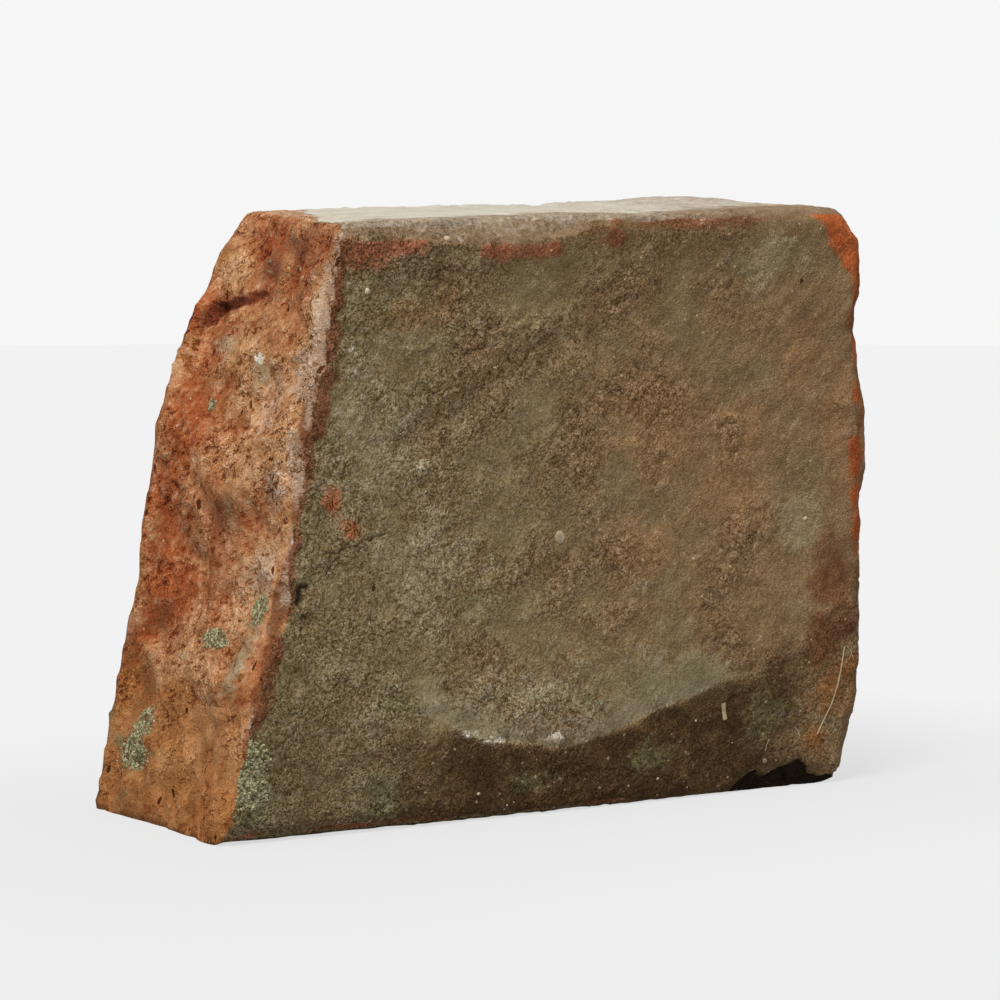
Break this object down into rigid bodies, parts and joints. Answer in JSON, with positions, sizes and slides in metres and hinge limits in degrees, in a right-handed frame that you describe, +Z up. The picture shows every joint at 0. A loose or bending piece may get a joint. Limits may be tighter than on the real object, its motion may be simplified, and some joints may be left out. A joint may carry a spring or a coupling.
{
  "type": "broken clay brick",
  "caption": "Old hand-moulded clay brick, broken across, with worn rounded edges, a shallow oval hollow in one bed face and a rough leaning break; for walls, rubble and garden edging.",
  "frame": {"origin": "on the ground, under the middle of the brick's box", "axes": "+X along the length from the break to the sound end, +Y through the thickness from the hollowed front bed face to the back one, +Z up the width as the brick stands on its long edge"},
  "size_m": [0.1372, 0.052, 0.107],
  "materials": {
    "brick": "weathered matt fired clay, soiled, with the red body bare at the break"
  },
  "bodies": {
    "root": {"brick": "brick"}
  },
  "joints": []
}
